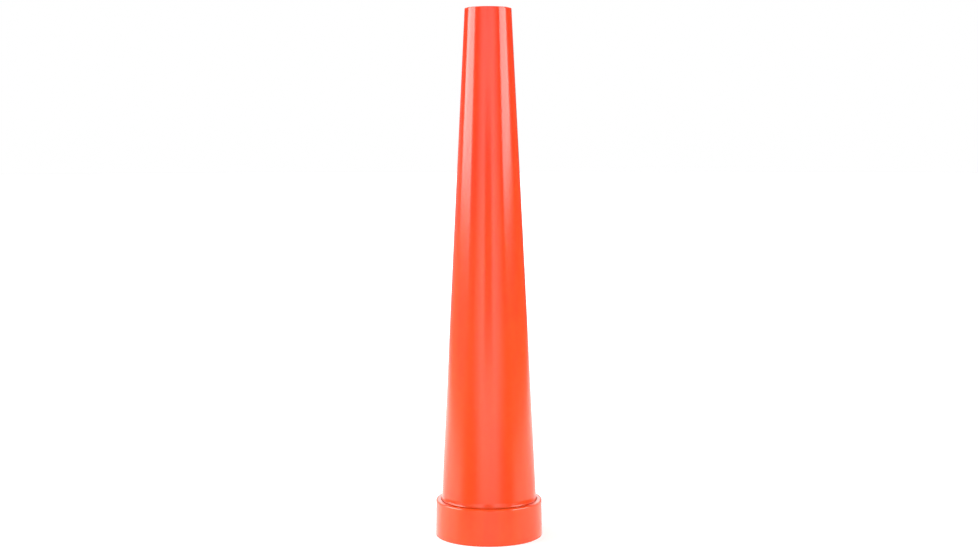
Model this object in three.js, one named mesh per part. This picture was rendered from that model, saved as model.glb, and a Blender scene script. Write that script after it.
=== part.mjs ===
// A signalling cone for a hand-held flashlight, as used to direct traffic. A slim hollow cone of
// translucent plastic ends in a short collar, which slips over the flashlight's head and grips it.
//
// Millimetres, +Z up. The origin is the centre of the mouth's rim, and the part stands on that rim
// with its tip up. Every piece is turned about the Z axis, so each one is drawn as the half section
// that its function returns: a list of [radius, height] points, up the outside and down the inside.

import * as THREE from 'three';

// Whole object
const LENGTH = 210; // from the mouth's rim to the tip
const FLATS = 72; // flats round the axis
const JOINT_GAP = 0.2; // radial room between two pieces that fit into each other
const FACE_GAP = 0.1; // room between two faces that rest on each other

// Cone: a straight taper with a wall of even thickness
const TIP_R = 9.2;
const TAPER = 0.0502; // radius lost for each millimetre of height
const WALL = 1.6;
const TIP_EDGE_R = 0.4; // rounding of the tip's outer edge
const TIP_EDGE_STEPS = 3;

// Collar: a plain sleeve that widens slightly towards the mouth
const MOUTH_R = 21.47;
const COLLAR_DRAFT = 0.0167; // radius lost for each millimetre of height
const COLLAR_TOP_Z = 14.55;
const COLLAR_EDGE_R = 0.75; // rounding of the collar's upper outer edge, the shoulder
const COLLAR_EDGE_STEPS = 7;
const SOCKET_R = 19.2; // bore that takes the flashlight's head
const LEAD_IN = 0.85; // chamfer where the head goes in

// Foot: the cone's side flares out in a hollow curve to a narrow lip just above the collar. The
// snap bead below carries the cone, so a thin open line stays under the lip.
const LIP_R = 19.34;
const LIP_GAP = 0.18;
const LIP_Z = COLLAR_TOP_Z + LIP_GAP;
const FOOT_Z = 15.4; // height on the cone's side that the curve heads for from both of its ends
const FLARE_Z = 17; // where the flare starts
const FLARE_STEPS = 6;

// Spigot: the part of the cone that goes down inside the collar and snaps in
const SPIGOT_R = SOCKET_R - JOINT_GAP;
const SPIGOT_FOOT_Z = 11.2;
const SPIGOT_CHAMFER = 0.3;
const SNAP_Z = 12.95; // height of the middle of the snap bead and of its groove
const SNAP_HEIGHT = 0.3; // how far the bead stands out of the spigot
const SNAP_HALF = 0.3; // half the width of the bead's flat crest

// Bezel seat: the soft washer that the flashlight's front rim stops against
const SEAT_THICK = 1;
const SEAT_TOP_Z = SPIGOT_FOOT_Z - FACE_GAP;
const SEAT_INNER_R = 16.8;
const SEAT_EDGE = 0.15;

// Grip ring: an elastomer ring in a groove of the socket, with lips that grip the head
const GROOVE_R = 20.25;
const GROOVE_LOW_Z = 3.5;
const GROOVE_HIGH_Z = 7.3;
const RING_BASE_R = 19.05; // inside of the ring between its lips
const LIP_COUNT = 3;
const LIP_HEIGHT = 0.3;
const LIP_HALF = 0.4; // half a lip's width at its foot

// Tip plug: a cup-shaped cap pressed into the open end of the cone
const PLUG_BORE_R = 8.25; // counterbore that the plug's head drops into
const PLUG_BORE_DEPTH = 1.7;
const NECK_R = 7.5; // narrow ring under the counterbore, which the plug snaps past
const NECK_LENGTH = 1.4;
const PLUG_HEAD = 1.4; // thickness of the head
const PLUG_SKIRT_DEPTH = 4; // how far the skirt reaches below the head
const PLUG_SKIRT_WALL = 1;
const PLUG_EDGE = 0.2;

const SIDE_ANGLE = Math.atan(TAPER);

function coneOuterR(z) {
  return TIP_R + (LENGTH - z) * TAPER;
}

function coneInnerR(z) {
  return coneOuterR(z) - WALL;
}

function collarOuterR(z) {
  return MOUTH_R - z * COLLAR_DRAFT;
}

// Points along a circle about [r, z], from one angle to another. Angles are in radians, with 0
// pointing away from the axis and a quarter turn pointing up.
function arc(r, z, radius, from, to, steps) {
  const points = [];
  for (let i = 0; i <= steps; i++) {
    const angle = from + ((to - from) * i) / steps;
    points.push([r + radius * Math.cos(angle), z + radius * Math.sin(angle)]);
  }
  return points;
}

// The flare of the cone's foot, from the lip up to the straight side
function footSection() {
  const lip = new THREE.Vector2(LIP_R, LIP_Z);
  const bend = new THREE.Vector2(coneOuterR(FOOT_Z), FOOT_Z);
  const start = new THREE.Vector2(coneOuterR(FLARE_Z), FLARE_Z);
  const curve = new THREE.QuadraticBezierCurve(lip, bend, start);
  return curve.getPoints(FLARE_STEPS).map(({ x, y }) => [x, y]);
}

function coneShellSection() {
  const boreFloorZ = LENGTH - PLUG_BORE_DEPTH;
  const neckFootZ = boreFloorZ - NECK_LENGTH;
  const neckSlopeZ = neckFootZ - (coneInnerR(neckFootZ) - NECK_R);
  const edgeR = TIP_R - TIP_EDGE_R;
  const edgeZ = LENGTH - TIP_EDGE_R;
  return [
    [SPIGOT_R - SPIGOT_CHAMFER, SPIGOT_FOOT_Z],
    [SPIGOT_R, SPIGOT_FOOT_Z + SPIGOT_CHAMFER],
    [SPIGOT_R, SNAP_Z - SNAP_HALF - SNAP_HEIGHT],
    [SPIGOT_R + SNAP_HEIGHT, SNAP_Z - SNAP_HALF],
    [SPIGOT_R + SNAP_HEIGHT, SNAP_Z + SNAP_HALF],
    [SPIGOT_R, SNAP_Z + SNAP_HALF + SNAP_HEIGHT],
    [SPIGOT_R, LIP_Z],
    ...footSection(),
    ...arc(edgeR, edgeZ, TIP_EDGE_R, SIDE_ANGLE, Math.PI / 2, TIP_EDGE_STEPS),
    [PLUG_BORE_R, LENGTH],
    [PLUG_BORE_R, boreFloorZ],
    [NECK_R, boreFloorZ],
    [NECK_R, neckFootZ],
    [coneInnerR(neckSlopeZ), neckSlopeZ],
    [coneInnerR(SPIGOT_FOOT_Z), SPIGOT_FOOT_Z],
  ];
}

function collarSection() {
  const edgeZ = COLLAR_TOP_Z - COLLAR_EDGE_R;
  const grooveR = SOCKET_R + SNAP_HEIGHT;
  const grooveHalf = SNAP_HALF + JOINT_GAP;
  return [
    [MOUTH_R, 0],
    ...arc(collarOuterR(edgeZ) - COLLAR_EDGE_R, edgeZ, COLLAR_EDGE_R, 0, Math.PI / 2, COLLAR_EDGE_STEPS),
    [SOCKET_R, COLLAR_TOP_Z],
    [SOCKET_R, SNAP_Z + grooveHalf + SNAP_HEIGHT],
    [grooveR, SNAP_Z + grooveHalf],
    [grooveR, SNAP_Z - grooveHalf],
    [SOCKET_R, SNAP_Z - grooveHalf - SNAP_HEIGHT],
    [SOCKET_R, GROOVE_HIGH_Z],
    [GROOVE_R, GROOVE_HIGH_Z],
    [GROOVE_R, GROOVE_LOW_Z],
    [SOCKET_R, GROOVE_LOW_Z],
    [SOCKET_R, LEAD_IN],
    [SOCKET_R + LEAD_IN, 0],
  ];
}

function bezelSeatSection() {
  const low = SEAT_TOP_Z - SEAT_THICK;
  return [
    [SPIGOT_R - SEAT_EDGE, low],
    [SPIGOT_R, low + SEAT_EDGE],
    [SPIGOT_R, SEAT_TOP_Z],
    [SEAT_INNER_R, SEAT_TOP_Z],
    [SEAT_INNER_R, low + SEAT_EDGE],
    [SEAT_INNER_R + SEAT_EDGE, low],
  ];
}

function gripRingSection() {
  const low = GROOVE_LOW_Z + FACE_GAP;
  const high = GROOVE_HIGH_Z - FACE_GAP;
  const pitch = (high - low) / LIP_COUNT;
  const section = [
    [GROOVE_R - FACE_GAP, low],
    [GROOVE_R - FACE_GAP, high],
    [RING_BASE_R, high],
  ];
  for (let i = 0; i < LIP_COUNT; i++) {
    const z = high - (i + 0.5) * pitch;
    section.push([RING_BASE_R, z + LIP_HALF]);
    section.push([RING_BASE_R - LIP_HEIGHT, z + LIP_HALF / 3]);
    section.push([RING_BASE_R - LIP_HEIGHT, z - LIP_HALF / 3]);
    section.push([RING_BASE_R, z - LIP_HALF]);
  }
  section.push([RING_BASE_R, low]);
  return section;
}

function tipPlugSection() {
  const topZ = LENGTH - FACE_GAP;
  const headZ = topZ - PLUG_HEAD;
  const headR = PLUG_BORE_R - JOINT_GAP;
  const skirtR = NECK_R - JOINT_GAP;
  const footZ = headZ - PLUG_SKIRT_DEPTH;
  const beadZ = LENGTH - PLUG_BORE_DEPTH - NECK_LENGTH - 2 * SNAP_HALF;
  return [
    [0, headZ],
    [skirtR - PLUG_SKIRT_WALL, headZ],
    [skirtR - PLUG_SKIRT_WALL, footZ],
    [skirtR - PLUG_EDGE, footZ],
    [skirtR + SNAP_HEIGHT, beadZ - SNAP_HALF],
    [skirtR + SNAP_HEIGHT, beadZ],
    [skirtR, beadZ + SNAP_HEIGHT],
    [skirtR, headZ],
    [headR, headZ],
    [headR, topZ - PLUG_EDGE],
    [headR - PLUG_EDGE, topZ],
    [0, topZ],
  ];
}

// Turns a half section about the Z axis. A section that doesn't start on the axis is closed on
// itself, so the result is one closed body either way.
function turned(section) {
  const points = section.map(([r, z]) => new THREE.Vector2(r, z));
  if (section[0][0] > 0) points.push(points[0].clone());
  return new THREE.LatheGeometry(points, FLATS).rotateX(Math.PI / 2);
}

function plastic(color, roughness) {
  return new THREE.MeshStandardMaterial({ color, roughness, metalness: 0 });
}

const PIECES = [
  { name: 'cone_shell', section: coneShellSection(), color: 0xff6348, roughness: 0.18 },
  { name: 'collar', section: collarSection(), color: 0xff6245, roughness: 0.25 },
  { name: 'tip_plug', section: tipPlugSection(), color: 0xf95a3e, roughness: 0.25 },
  { name: 'bezel_seat', section: bezelSeatSection(), color: 0xc8432c, roughness: 0.7 },
  { name: 'grip_ring', section: gripRingSection(), color: 0xb93a26, roughness: 0.6 },
];

const group = new THREE.Group();
for (const piece of PIECES) {
  const mesh = new THREE.Mesh(turned(piece.section), plastic(piece.color, piece.roughness));
  mesh.name = piece.name;
  group.add(mesh);
}

export default group;
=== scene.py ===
"""Looks for the flashlight traffic cone: fine meshes for its five pieces, moulded plastic and
elastomer materials, a pale floor, soft studio light and the camera. Lengths are in metres."""

import math

import bmesh
import bpy
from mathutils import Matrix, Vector


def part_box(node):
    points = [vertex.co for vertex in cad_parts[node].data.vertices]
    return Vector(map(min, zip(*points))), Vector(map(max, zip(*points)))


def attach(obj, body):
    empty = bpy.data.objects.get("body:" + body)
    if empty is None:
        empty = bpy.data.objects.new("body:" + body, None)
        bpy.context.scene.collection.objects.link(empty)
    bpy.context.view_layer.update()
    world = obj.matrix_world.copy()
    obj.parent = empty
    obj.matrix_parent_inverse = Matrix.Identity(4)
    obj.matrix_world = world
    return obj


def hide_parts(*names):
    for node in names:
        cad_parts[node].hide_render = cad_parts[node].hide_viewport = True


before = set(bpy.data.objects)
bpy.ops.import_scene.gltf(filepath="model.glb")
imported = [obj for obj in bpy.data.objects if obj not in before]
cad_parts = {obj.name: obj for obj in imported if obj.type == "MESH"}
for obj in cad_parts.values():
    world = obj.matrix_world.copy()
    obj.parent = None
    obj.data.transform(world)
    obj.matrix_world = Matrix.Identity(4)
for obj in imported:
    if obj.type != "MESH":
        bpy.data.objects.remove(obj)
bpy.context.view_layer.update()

MM = 0.001
FLATS = 240  # steps round the axis
SHARP = 0.1 * MM  # rounding of an edge that looks sharp
SOFT = 0.2 * MM  # rounding of an edge that looks slightly soft
SUPPORT = 0.06 * MM  # distance of a supporting ring from a rounding
LEAST_STEPS = 4  # steps in the smallest rounding; one more for each SHARP of its size
MOST_STEPS = 20

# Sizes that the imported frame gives
SHELL_LOW, SHELL_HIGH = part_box("cone_shell")
COLLAR_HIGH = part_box("collar")[1]
SEAT_LOW, SEAT_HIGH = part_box("bezel_seat")
RING_LOW, RING_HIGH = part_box("grip_ring")
PLUG_LOW, PLUG_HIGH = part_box("tip_plug")
LENGTH = SHELL_HIGH.z
MOUTH_R = COLLAR_HIGH.x
COLLAR_TOP = COLLAR_HIGH.z
SPIGOT_FOOT = SHELL_LOW.z

# Sizes inside the pieces, as in the CAD part
TIP_R = 9.2 * MM
TAPER = 0.0502
WALL = 1.6 * MM
COLLAR_DRAFT = 0.0167
SOCKET_R = 19.2 * MM
LEAD_IN = 0.85 * MM
LEAD_IN_EDGE = 0.3 * MM
JOINT_GAP = 0.2 * MM
SPIGOT_R = SOCKET_R - JOINT_GAP
SPIGOT_CHAMFER = 0.3 * MM
SNAP_Z = 12.95 * MM
SNAP_HEIGHT = 0.3 * MM
SNAP_HALF = 0.3 * MM
GROOVE_R = 20.25 * MM
GROOVE_LOW = 3.5 * MM
GROOVE_HIGH = 7.3 * MM
RING_BASE_R = 19.05 * MM
LIP_HEIGHT = 0.3 * MM
LIP_HALF = 0.4 * MM
LIP_CREST_EDGE = 0.12 * MM
LIP_COUNT = 3
SEAT_INNER_R = 16.8 * MM
SEAT_INNER_EDGE = 0.3 * MM
COLLAR_EDGE_R = 0.75 * MM  # rounding of the collar's upper outer edge, the shoulder
LIP_R = 19.34 * MM  # narrow lip at the cone's foot
LIP_GAP = 0.18 * MM  # open line between the lip and the collar
LIP_EDGE = 0.03 * MM
# The flare above the lip has two bends. The upper one lies on the straight side.
LOW_BEND_R = 19.125 * MM
LOW_BEND_Z = 14.95 * MM
LOW_BEND_ROUNDING = 0.7 * MM
HIGH_BEND_Z = 16.35 * MM
HIGH_BEND_ROUNDING = 5 * MM
TIP_EDGE = 0.4 * MM  # rounding of the tip's outer edge
PLUG_BORE_R = 8.25 * MM
PLUG_BORE_DEPTH = 1.7 * MM
NECK_R = 7.5 * MM
NECK_LENGTH = 1.4 * MM
PLUG_HEAD = 1.4 * MM
PLUG_SKIRT_WALL = 1 * MM
PLUG_SKIRT_CHAMFER = 0.2 * MM
PLUG_EDGE = 0.25 * MM
PLUG_FLOOR_EDGE = 0.4 * MM  # inside the cup
# Small round dimple in the middle of the plug, where moulded plastic was let in
DIMPLE_R = 1.6 * MM
DIMPLE_FLOOR_R = 1.2 * MM
DIMPLE_DEPTH = 0.3 * MM

# Moulded plastic: noise scales per metre, and how far the flow streaks shift the colour
FLOW_SCALE = 160.0
CLOUD_SCALE = 38.0
PEEL_SCALE = 320.0
GRAIN_SCALE = 2600.0
STREAK = 0.3
DEEPENING_START = 0.25  # share of the length from which the colour deepens towards the tip
PEEL_DEPTH = 0.012 * MM
TRANSLUCENCY = 0.5
CONE_FOOT_COLOUR = (0.755, 0.0635, 0.010, 1)
COLLAR_COLOUR = (0.755, 0.069, 0.0105, 1)
TIP_COLOUR = (0.74, 0.039, 0.009, 1)
CONE_ROUGHNESS = 0.12
COLLAR_ROUGHNESS = 0.14
PLUG_ROUGHNESS = 0.17

# Elastomer: noise scales per metre, and a light and a deep shade of each piece
PATCH_SCALE = 220.0
SKIN_SCALE = 5200.0
SKIN_DEPTH = 0.03 * MM
SEAT_LIGHT = (0.60, 0.055, 0.024, 1)
SEAT_DEEP = (0.46, 0.038, 0.016, 1)
RING_LIGHT = (0.54, 0.048, 0.022, 1)
RING_DEEP = (0.42, 0.034, 0.015, 1)

# Studio: brightness of each part of the light
CARD = 2.1
LENS_DARKNESS = 0.9  # how much of the card's light the camera in front of it takes away
LOW_CARD = 0.9
LOW_LIGHT = 1.0
NEAR_TABLE = 0.95
SIDE_TABLE = 1.35
LEFT_BOX = 7.2
RIGHT_BOX = 6.6
REAR_BOX = 2.2
LEFT_GLOW = 0.4
RIGHT_GLOW = 0.45
LEFT_FILL = 0.35
AMBIENT = 0.1

# Camera
CAMERA_DISTANCE = 2.947 * LENGTH
CAMERA_HEIGHT = 0.763 * LENGTH
CAMERA_SIDE = 0.29 * MM
CAMERA_PITCH = 5.12  # degrees down
CAMERA_ROLL = 0.002  # radians
CAMERA_LENS = 57.42  # millimetres, on a sensor 36 wide
SENSOR_WIDTH = 36.0

FLOOR_RADIUS = 6.0
FLOOR_GLOW = 0.25


def cone_outer(z):
    return TIP_R + (LENGTH - z) * TAPER


def cone_inner(z):
    return cone_outer(z) - WALL


def collar_outer(z):
    return MOUTH_R - z * COLLAR_DRAFT


def arc(centre, radius, start, end, steps):
    """Points of a circle's arc between two angles; 0 points away from the axis, a quarter turn up."""
    points = []
    for i in range(steps + 1):
        angle = start + (end - start) * i / steps
        points.append(Vector((centre[0] + radius * math.cos(angle), centre[1] + radius * math.sin(angle))))
    return points


def rounded(corners, closed):
    """A section's points from its corners (radius, height, rounding). Each corner with a rounding
    becomes an arc that touches both of its sides."""
    points = []
    count = len(corners)
    for i, (r, z, rounding) in enumerate(corners):
        here = Vector((r, z))
        end_point = not closed and i in (0, count - 1)
        if rounding <= 0 or end_point:
            points.append(here)
            continue
        before = (Vector(corners[i - 1][:2]) - here).normalized()
        after = (Vector(corners[(i + 1) % count][:2]) - here).normalized()
        half = before.angle(after) / 2
        back = rounding / math.tan(half)
        centre = here + (before + after).normalized() * (rounding / math.sin(half))
        first = here + before * back - centre
        last = here + after * back - centre
        turn = first.angle_signed(last)
        start = math.atan2(first.y, first.x)
        steps = min(MOST_STEPS, LEAST_STEPS + round(rounding / SHARP))
        points += arc(centre, rounding, start, start - turn, steps)
    return points


def supported(section, closed):
    """The section with extra points close to both ends of its long sides, so that smooth shading
    leaves the long sides straight."""
    points = []
    count = len(section)
    for i, here in enumerate(section):
        points.append(here)
        if i == count - 1 and not closed:
            break
        side = section[(i + 1) % count] - here
        if side.length > 5 * SUPPORT:
            step = side.normalized() * SUPPORT
            points += [here + step, here + side - step]
    return points


def turned(name, section, closed=True):
    """A mesh object made by turning a section about the Z axis. An open section starts and ends on
    the axis. Faces point out when the section runs up the outside."""
    mesh = bpy.data.meshes.new(name)
    bm = bmesh.new()
    rings = []
    for point in supported(section, closed):
        if point.x < 1e-9:
            rings.append([bm.verts.new((0, 0, point.y))])
            continue
        ring = []
        for i in range(FLATS):
            angle = 2 * math.pi * i / FLATS
            ring.append(bm.verts.new((point.x * math.cos(angle), point.x * math.sin(angle), point.y)))
        rings.append(ring)
    pairs = list(zip(rings, rings[1:]))
    if closed:
        pairs.append((rings[-1], rings[0]))
    for low, high in pairs:
        for i in range(FLATS):
            j = (i + 1) % FLATS
            corners = [low[i % len(low)], low[j % len(low)], high[j % len(high)], high[i % len(high)]]
            bm.faces.new(list(dict.fromkeys(corners)))
    for face in bm.faces:
        face.smooth = True
    bm.to_mesh(mesh)
    bm.free()
    piece = bpy.data.objects.new(name, mesh)
    bpy.context.scene.collection.objects.link(piece)
    return piece


def cone_shell():
    lip_z = COLLAR_TOP + LIP_GAP
    bore_floor = LENGTH - PLUG_BORE_DEPTH
    neck_foot = bore_floor - NECK_LENGTH
    slope_z = neck_foot - (cone_inner(neck_foot) - NECK_R)
    section = rounded(
        [
            (SPIGOT_R - SPIGOT_CHAMFER, SPIGOT_FOOT, SHARP),
            (SPIGOT_R, SPIGOT_FOOT + SPIGOT_CHAMFER, SHARP),
            (SPIGOT_R, SNAP_Z - SNAP_HALF - SNAP_HEIGHT, SHARP),
            (SPIGOT_R + SNAP_HEIGHT, SNAP_Z - SNAP_HALF, SOFT),
            (SPIGOT_R + SNAP_HEIGHT, SNAP_Z + SNAP_HALF, SOFT),
            (SPIGOT_R, SNAP_Z + SNAP_HALF + SNAP_HEIGHT, SHARP),
            (SPIGOT_R, lip_z, SHARP),
            (LIP_R, lip_z, LIP_EDGE),
            (LOW_BEND_R, LOW_BEND_Z, LOW_BEND_ROUNDING),
            (cone_outer(HIGH_BEND_Z), HIGH_BEND_Z, HIGH_BEND_ROUNDING),
            (TIP_R, LENGTH, TIP_EDGE),
            (PLUG_BORE_R, LENGTH, SHARP),
            (PLUG_BORE_R, bore_floor, SHARP),
            (NECK_R, bore_floor, SHARP),
            (NECK_R, neck_foot, SHARP),
            (cone_inner(slope_z), slope_z, SHARP),
            (cone_inner(SPIGOT_FOOT), SPIGOT_FOOT, SHARP),
        ],
        closed=True,
    )
    return turned("cone_shell_moulding", section)


def collar():
    groove_r = SOCKET_R + SNAP_HEIGHT
    groove_half = SNAP_HALF + JOINT_GAP
    section = rounded(
        [
            (MOUTH_R, 0, SHARP),
            (collar_outer(COLLAR_TOP), COLLAR_TOP, COLLAR_EDGE_R),
            (SOCKET_R, COLLAR_TOP, SOFT),
            (SOCKET_R, SNAP_Z + groove_half + SNAP_HEIGHT, SHARP),
            (groove_r, SNAP_Z + groove_half, SHARP),
            (groove_r, SNAP_Z - groove_half, SHARP),
            (SOCKET_R, SNAP_Z - groove_half - SNAP_HEIGHT, SHARP),
            (SOCKET_R, GROOVE_HIGH, SHARP),
            (GROOVE_R, GROOVE_HIGH, SOFT),
            (GROOVE_R, GROOVE_LOW, SOFT),
            (SOCKET_R, GROOVE_LOW, SHARP),
            (SOCKET_R, LEAD_IN, LEAD_IN_EDGE),
            (SOCKET_R + LEAD_IN, 0, SHARP),
        ],
        closed=True,
    )
    return turned("collar_sleeve", section)


def bezel_seat():
    section = rounded(
        [
            (SEAT_HIGH.x, SEAT_LOW.z, SOFT),
            (SEAT_HIGH.x, SEAT_HIGH.z, SHARP),
            (SEAT_INNER_R, SEAT_HIGH.z, SHARP),
            (SEAT_INNER_R, SEAT_LOW.z, SEAT_INNER_EDGE),
        ],
        closed=True,
    )
    return turned("bezel_seat_washer", section)


def grip_ring():
    outer = RING_HIGH.x
    low, high = RING_LOW.z, RING_HIGH.z
    pitch = (high - low) / LIP_COUNT
    crest_r = RING_BASE_R - LIP_HEIGHT
    corners = [(outer, low, SOFT), (outer, high, SOFT), (RING_BASE_R, high, SHARP)]
    for i in range(LIP_COUNT):
        z = high - (i + 0.5) * pitch
        corners.append((RING_BASE_R, z + LIP_HALF, SHARP))
        corners.append((crest_r, z + LIP_HALF / 3, LIP_CREST_EDGE))
        corners.append((crest_r, z - LIP_HALF / 3, LIP_CREST_EDGE))
        corners.append((RING_BASE_R, z - LIP_HALF, SHARP))
    corners.append((RING_BASE_R, low, SHARP))
    return turned("grip_ring_elastomer", rounded(corners, closed=True))


def tip_plug():
    top = PLUG_HIGH.z
    head = top - PLUG_HEAD
    head_r = PLUG_HIGH.x
    skirt_r = NECK_R - JOINT_GAP
    foot = PLUG_LOW.z
    bead = LENGTH - PLUG_BORE_DEPTH - NECK_LENGTH - 2 * SNAP_HALF
    section = rounded(
        [
            (0, head, 0),
            (skirt_r - PLUG_SKIRT_WALL, head, PLUG_FLOOR_EDGE),
            (skirt_r - PLUG_SKIRT_WALL, foot, SHARP),
            (skirt_r - PLUG_SKIRT_CHAMFER, foot, SHARP),
            (skirt_r + SNAP_HEIGHT, bead - SNAP_HALF, SOFT),
            (skirt_r + SNAP_HEIGHT, bead, SHARP),
            (skirt_r, bead + SNAP_HEIGHT, SHARP),
            (skirt_r, head, SHARP),
            (head_r, head, SHARP),
            (head_r, top, PLUG_EDGE),
            (DIMPLE_R, top, DIMPLE_DEPTH),
            (DIMPLE_FLOOR_R, top - DIMPLE_DEPTH, SOFT),
            (0, top - DIMPLE_DEPTH, 0),
        ],
        closed=False,
    )
    return turned("tip_plug_cap", section, closed=False)


class Nodes:
    """A node tree and short ways to put nodes in it. Each method returns the new node's output."""

    def __init__(self, tree):
        self.tree = tree
        tree.nodes.clear()

    def add(self, kind, inputs=None, **settings):
        node = self.tree.nodes.new(kind)
        for name, value in settings.items():
            setattr(node, name, value)
        for name, value in (inputs or {}).items():
            self.put(node.inputs[name], value)
        return node

    def put(self, socket, value):
        if isinstance(value, bpy.types.NodeSocket):
            self.tree.links.new(value, socket)
        else:
            socket.default_value = value

    def math(self, operation, *values):
        node = self.add("ShaderNodeMath", operation=operation)
        for socket, value in zip(node.inputs, values):
            self.put(socket, value)
        return node.outputs[0]

    def step(self, value, start, end, low=0.0, high=1.0):
        """Runs smoothly from low to high as value goes from start to end."""
        inputs = {"Value": value, "From Min": start, "From Max": end, "To Min": low, "To Max": high}
        node = self.add("ShaderNodeMapRange", inputs, interpolation_type="SMOOTHSTEP")
        return node.outputs["Result"]

    def noise(self, position, scale, detail, roughness=0.5):
        inputs = {"Vector": position, "Scale": scale, "Detail": detail, "Roughness": roughness}
        return self.add("ShaderNodeTexNoise", inputs).outputs["Fac"]

    def stretched(self, stretch):
        """The object's own coordinates, in metres, scaled along each axis."""
        place = self.add("ShaderNodeTexCoord").outputs["Object"]
        return self.add("ShaderNodeMapping", {"Vector": place, "Scale": stretch}).outputs[0]


def moulded_plastic(name, foot, tip, roughness):
    """Glossy translucent moulded plastic. Its colour deepens from the foot to the tip, with faint flow
    streaks along the cone, a slightly uneven gloss and a very shallow orange-peel texture."""
    material = bpy.data.materials.new(name)
    material.use_nodes = True
    n = Nodes(material.node_tree)
    flow = n.noise(n.stretched((1.0, 1.0, 0.12)), FLOW_SCALE, 5.0, 0.55)
    cloud = n.noise(n.stretched((1.0, 1.0, 0.6)), CLOUD_SCALE, 3.0)
    place = n.add("ShaderNodeTexCoord").outputs["Object"]
    height = n.add("ShaderNodeSeparateXYZ", {"Vector": place}).outputs["Z"]
    share = n.step(height, DEEPENING_START * LENGTH, LENGTH)
    uneven = n.math("ADD", n.math("MULTIPLY", flow, 0.6), n.math("MULTIPLY", cloud, 0.4))
    share = n.math("ADD", share, n.step(uneven, 0.3, 0.7, -STREAK, STREAK))
    colour = n.add("ShaderNodeMix", {"Factor": share, "A": foot, "B": tip}, data_type="RGBA")
    grain = n.noise(n.stretched((1.0, 1.0, 1.0)), GRAIN_SCALE, 3.0)
    sheen = n.math("ADD", n.math("MULTIPLY", grain, 0.5), n.math("MULTIPLY", flow, 0.5))
    gloss = n.step(sheen, 0.3, 0.7, roughness * 0.8, roughness * 1.25)
    peel = n.noise(n.stretched((1.0, 1.0, 0.45)), PEEL_SCALE, 2.0)
    relief = n.math("ADD", peel, n.math("MULTIPLY", grain, 0.06))
    bump = n.add("ShaderNodeBump", {"Strength": 0.35, "Distance": PEEL_DEPTH, "Height": relief})
    shader = n.add(
        "ShaderNodeBsdfPrincipled",
        {
            "Base Color": colour.outputs["Result"],
            "Roughness": gloss,
            "IOR": 1.5,
            "Subsurface Weight": TRANSLUCENCY,
            "Subsurface Radius": (1.0, 0.28, 0.14),
            "Subsurface Scale": 2.5 * MM,
            "Normal": bump.outputs["Normal"],
        },
    )
    out = n.add("ShaderNodeOutputMaterial")
    n.put(out.inputs["Surface"], shader.outputs["BSDF"])
    return material


def elastomer(name, light, deep):
    """Matt moulded elastomer: fine grain, patchy sheen and a dusty unevenness."""
    material = bpy.data.materials.new(name)
    material.use_nodes = True
    n = Nodes(material.node_tree)
    patch = n.noise(n.stretched((1.0, 1.0, 1.0)), PATCH_SCALE, 4.0, 0.6)
    grain = n.noise(n.stretched((1.0, 1.0, 1.0)), SKIN_SCALE, 2.0)
    uneven = n.math("ADD", n.math("MULTIPLY", patch, 0.7), n.math("MULTIPLY", grain, 0.3))
    share = n.step(uneven, 0.3, 0.7)
    colour = n.add("ShaderNodeMix", {"Factor": share, "A": light, "B": deep}, data_type="RGBA")
    dull = n.step(patch, 0.25, 0.75, 0.52, 0.72)
    bump = n.add("ShaderNodeBump", {"Strength": 0.5, "Distance": SKIN_DEPTH, "Height": grain})
    shader = n.add(
        "ShaderNodeBsdfPrincipled",
        {
            "Base Color": colour.outputs["Result"],
            "Roughness": dull,
            "IOR": 1.45,
            "Subsurface Weight": 0.2,
            "Subsurface Radius": (1.0, 0.3, 0.15),
            "Subsurface Scale": 1.0 * MM,
            "Normal": bump.outputs["Normal"],
        },
    )
    out = n.add("ShaderNodeOutputMaterial")
    n.put(out.inputs["Surface"], shader.outputs["BSDF"])
    return material


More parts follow.
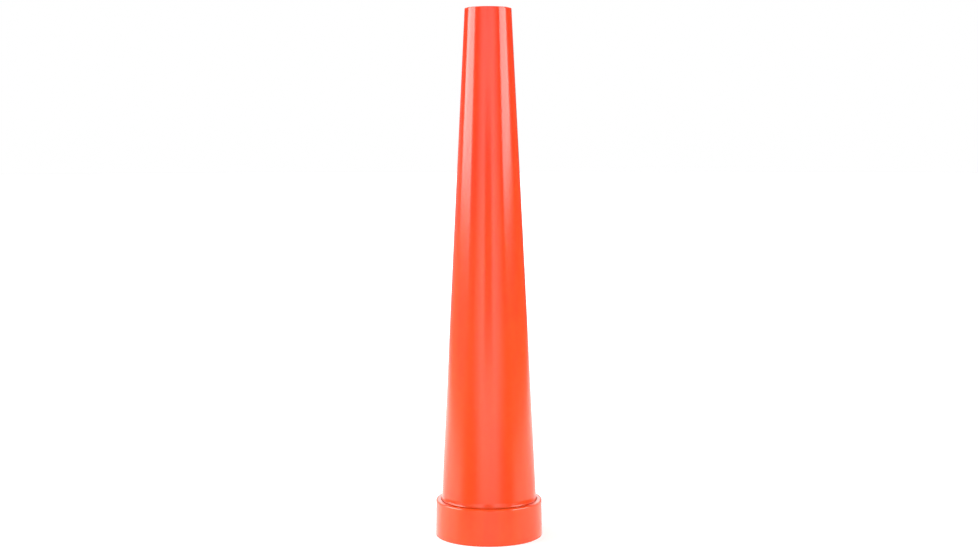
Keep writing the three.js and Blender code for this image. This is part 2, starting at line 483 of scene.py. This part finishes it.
def studio():
    """The light: a tall softbox at each side, a wide one behind, a white card behind the camera and a
    white table. Each part spans a range of azimuth and of height, both in degrees and with soft
    ends. Azimuth 0 is the camera's side and grows to the right. Camera rays see plain white."""
    world = bpy.data.worlds.new("studio")
    world.use_nodes = True
    world.cycles.sample_map_resolution = 1024
    bpy.context.scene.world = world
    n = Nodes(world.node_tree)
    direction = n.add("ShaderNodeTexCoord").outputs["Generated"]
    axes = n.add("ShaderNodeSeparateXYZ", {"Vector": direction}).outputs
    azimuth = n.math("DEGREES", n.math("ARCTAN2", axes["X"], n.math("MULTIPLY", axes["Y"], -1.0)))
    height = n.math("DEGREES", n.math("ARCSINE", axes["Z"]))
    side = n.math("ABSOLUTE", azimuth)

    def rise(value, start, end):
        return n.step(value, start, end, 0.0, 1.0)

    def fall(value, start, end):
        return n.step(value, start, end, 1.0, 0.0)

    def band(value, start, end, soft):
        inside = rise(value, start - soft, start + soft)
        return n.math("MULTIPLY", inside, fall(value, end - soft, end + soft))

    def product(*factors):
        result = factors[0]
        for factor in factors[1:]:
            result = n.math("MULTIPLY", result, factor)
        return result

    # The card behind the camera, darker where the camera stands and at its top
    off_lens = n.math("ABSOLUTE", n.math("ADD", azimuth, 0.8))
    lens_height = n.math("MULTIPLY", rise(height, -4.3, -0.3), fall(height, 5.0, 8.0))
    lens = product(fall(off_lens, 7.0, 17.0), lens_height, LENS_DARKNESS)
    upper = product(rise(height, 10.0, 14.0), n.step(off_lens, 8.0, 16.0, 1.0, 0.5))
    seen = n.math("SUBTRACT", 1.0, n.math("ADD", lens, upper))
    card = product(fall(side, 14.0, 56.0), rise(height, -6.8, -2.8), seen, CARD)

    # The card's lower edge and the table in front of it
    below_card = fall(height, -6.8, -2.8)
    near = fall(side, 12.0, 40.0)
    low_card = product(near, below_card, rise(height, -8.0, -6.0), LOW_CARD)
    low_light = product(near, below_card, LOW_LIGHT)

    # The table at both sides
    near_table = product(rise(side, 12.0, 40.0), fall(height, -12.5, -10.5), NEAR_TABLE)
    off_side = n.math("ABSOLUTE", n.math("ADD", azimuth, 3.5))
    far_strip = n.math("MULTIPLY", fall(height, -8.5, -5.5), rise(height, -14.0, -8.5))
    side_table = product(rise(off_side, 54.0, 80.0), far_strip, SIDE_TABLE)

    # The softboxes. The right one's lower edge climbs a little towards the back.
    right_height = n.math("SUBTRACT", height, rise(azimuth, 74.0, 92.0))
    box_top = fall(height, 40.0, 55.0)
    left_box = product(band(azimuth, -112.0, -66.3, 3.0), rise(height, -0.8, 4.9), box_top, LEFT_BOX)
    right_box = product(band(azimuth, 56.0, 95.7, 2.5), rise(right_height, 0.4, 4.9), box_top, RIGHT_BOX)
    rear_height = n.math("MULTIPLY", rise(height, 9.0, 13.0), fall(height, 30.0, 38.0))
    rear_box = product(rise(side, 116.0, 126.0), rear_height, REAR_BOX)

    # Faint light beside and below the softboxes
    glow_top = fall(height, 20.0, 30.0)
    left_glow = product(band(azimuth, -74.0, -52.0, 6.0), rise(height, -14.0, 4.0), glow_top, LEFT_GLOW)
    right_glow = product(band(azimuth, 84.0, 105.0, 5.0), rise(height, 0.0, 3.0), glow_top, RIGHT_GLOW)
    leftward = n.math("MULTIPLY", azimuth, -1.0)
    left_fill = product(rise(leftward, 60.0, 84.0), fall(height, 0.0, 6.0), LEFT_FILL)

    tables = (near_table, side_table, low_light, low_card)
    boxes = (left_box, right_box, rear_box)
    light = AMBIENT
    for part in (card, *tables, *boxes, left_glow, right_glow, left_fill):
        light = n.math("ADD", part, light)

    camera_ray = n.add("ShaderNodeLightPath").outputs["Is Camera Ray"]
    strength = n.add("ShaderNodeMix", {"Factor": camera_ray, "A": light, "B": 1.0}, data_type="FLOAT")
    inputs = {"Color": (1, 1, 1, 1), "Strength": strength.outputs["Result"]}
    background = n.add("ShaderNodeBackground", inputs)
    out = n.add("ShaderNodeOutputWorld")
    n.put(out.inputs["Surface"], background.outputs["Background"])


def floor():
    """The plain white floor that the cone stands on. It glows faintly, like a light table."""
    mesh = bpy.data.meshes.new("studio_floor")
    bm = bmesh.new()
    bmesh.ops.create_circle(bm, cap_ends=True, segments=96, radius=FLOOR_RADIUS)
    bm.to_mesh(mesh)
    bm.free()
    plane = bpy.data.objects.new("studio_floor", mesh)
    bpy.context.scene.collection.objects.link(plane)
    material = bpy.data.materials.new("floor_white")
    material.use_nodes = True
    n = Nodes(material.node_tree)
    paint = n.add("ShaderNodeBsdfDiffuse", {"Color": (0.95, 0.95, 0.95, 1)})
    glow = n.add("ShaderNodeEmission", {"Color": (1, 1, 1, 1), "Strength": FLOOR_GLOW})
    shader = n.add("ShaderNodeAddShader")
    n.put(shader.inputs[0], paint.outputs["BSDF"])
    n.put(shader.inputs[1], glow.outputs["Emission"])
    out = n.add("ShaderNodeOutputMaterial")
    n.put(out.inputs["Surface"], shader.outputs["Shader"])
    mesh.materials.append(material)
    plane.visible_glossy = False


def camera():
    """The camera stands 2.95 lengths away, three quarters of a length up, and looks slightly down."""
    data = bpy.data.cameras.new("camera")
    data.sensor_width = SENSOR_WIDTH
    data.lens = CAMERA_LENS
    data.clip_start = 0.01
    data.clip_end = 50.0
    cam = bpy.data.objects.new("camera", data)
    cam.location = (CAMERA_SIDE, -CAMERA_DISTANCE, CAMERA_HEIGHT)
    cam.rotation_euler = (math.radians(90 - CAMERA_PITCH), CAMERA_ROLL, 0)
    bpy.context.scene.collection.objects.link(cam)
    bpy.context.scene.camera = cam


def main():
    cone_plastic = moulded_plastic("cone_plastic", CONE_FOOT_COLOUR, TIP_COLOUR, CONE_ROUGHNESS)
    collar_plastic = moulded_plastic("collar_plastic", COLLAR_COLOUR, TIP_COLOUR, COLLAR_ROUGHNESS)
    plug_plastic = moulded_plastic("plug_plastic", CONE_FOOT_COLOUR, TIP_COLOUR, PLUG_ROUGHNESS)
    seat_rubber = elastomer("seat_rubber", SEAT_LIGHT, SEAT_DEEP)
    grip_rubber = elastomer("grip_rubber", RING_LIGHT, RING_DEEP)
    pieces = (
        (cone_shell(), "cone_shell", "cone_plastic", cone_plastic),
        (collar(), "collar", "collar_plastic", collar_plastic),
        (tip_plug(), "tip_plug", "plug_plastic", plug_plastic),
        (bezel_seat(), "bezel_seat", "seat_rubber", seat_rubber),
        (grip_ring(), "grip_ring", "grip_rubber", grip_rubber),
    )
    for piece, node, slot, material in pieces:
        piece.data.materials.append(material)
        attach(piece, "root")
        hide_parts(node)
    studio()
    floor()
    camera()
    bpy.context.scene.view_settings.view_transform = "Standard"


main()
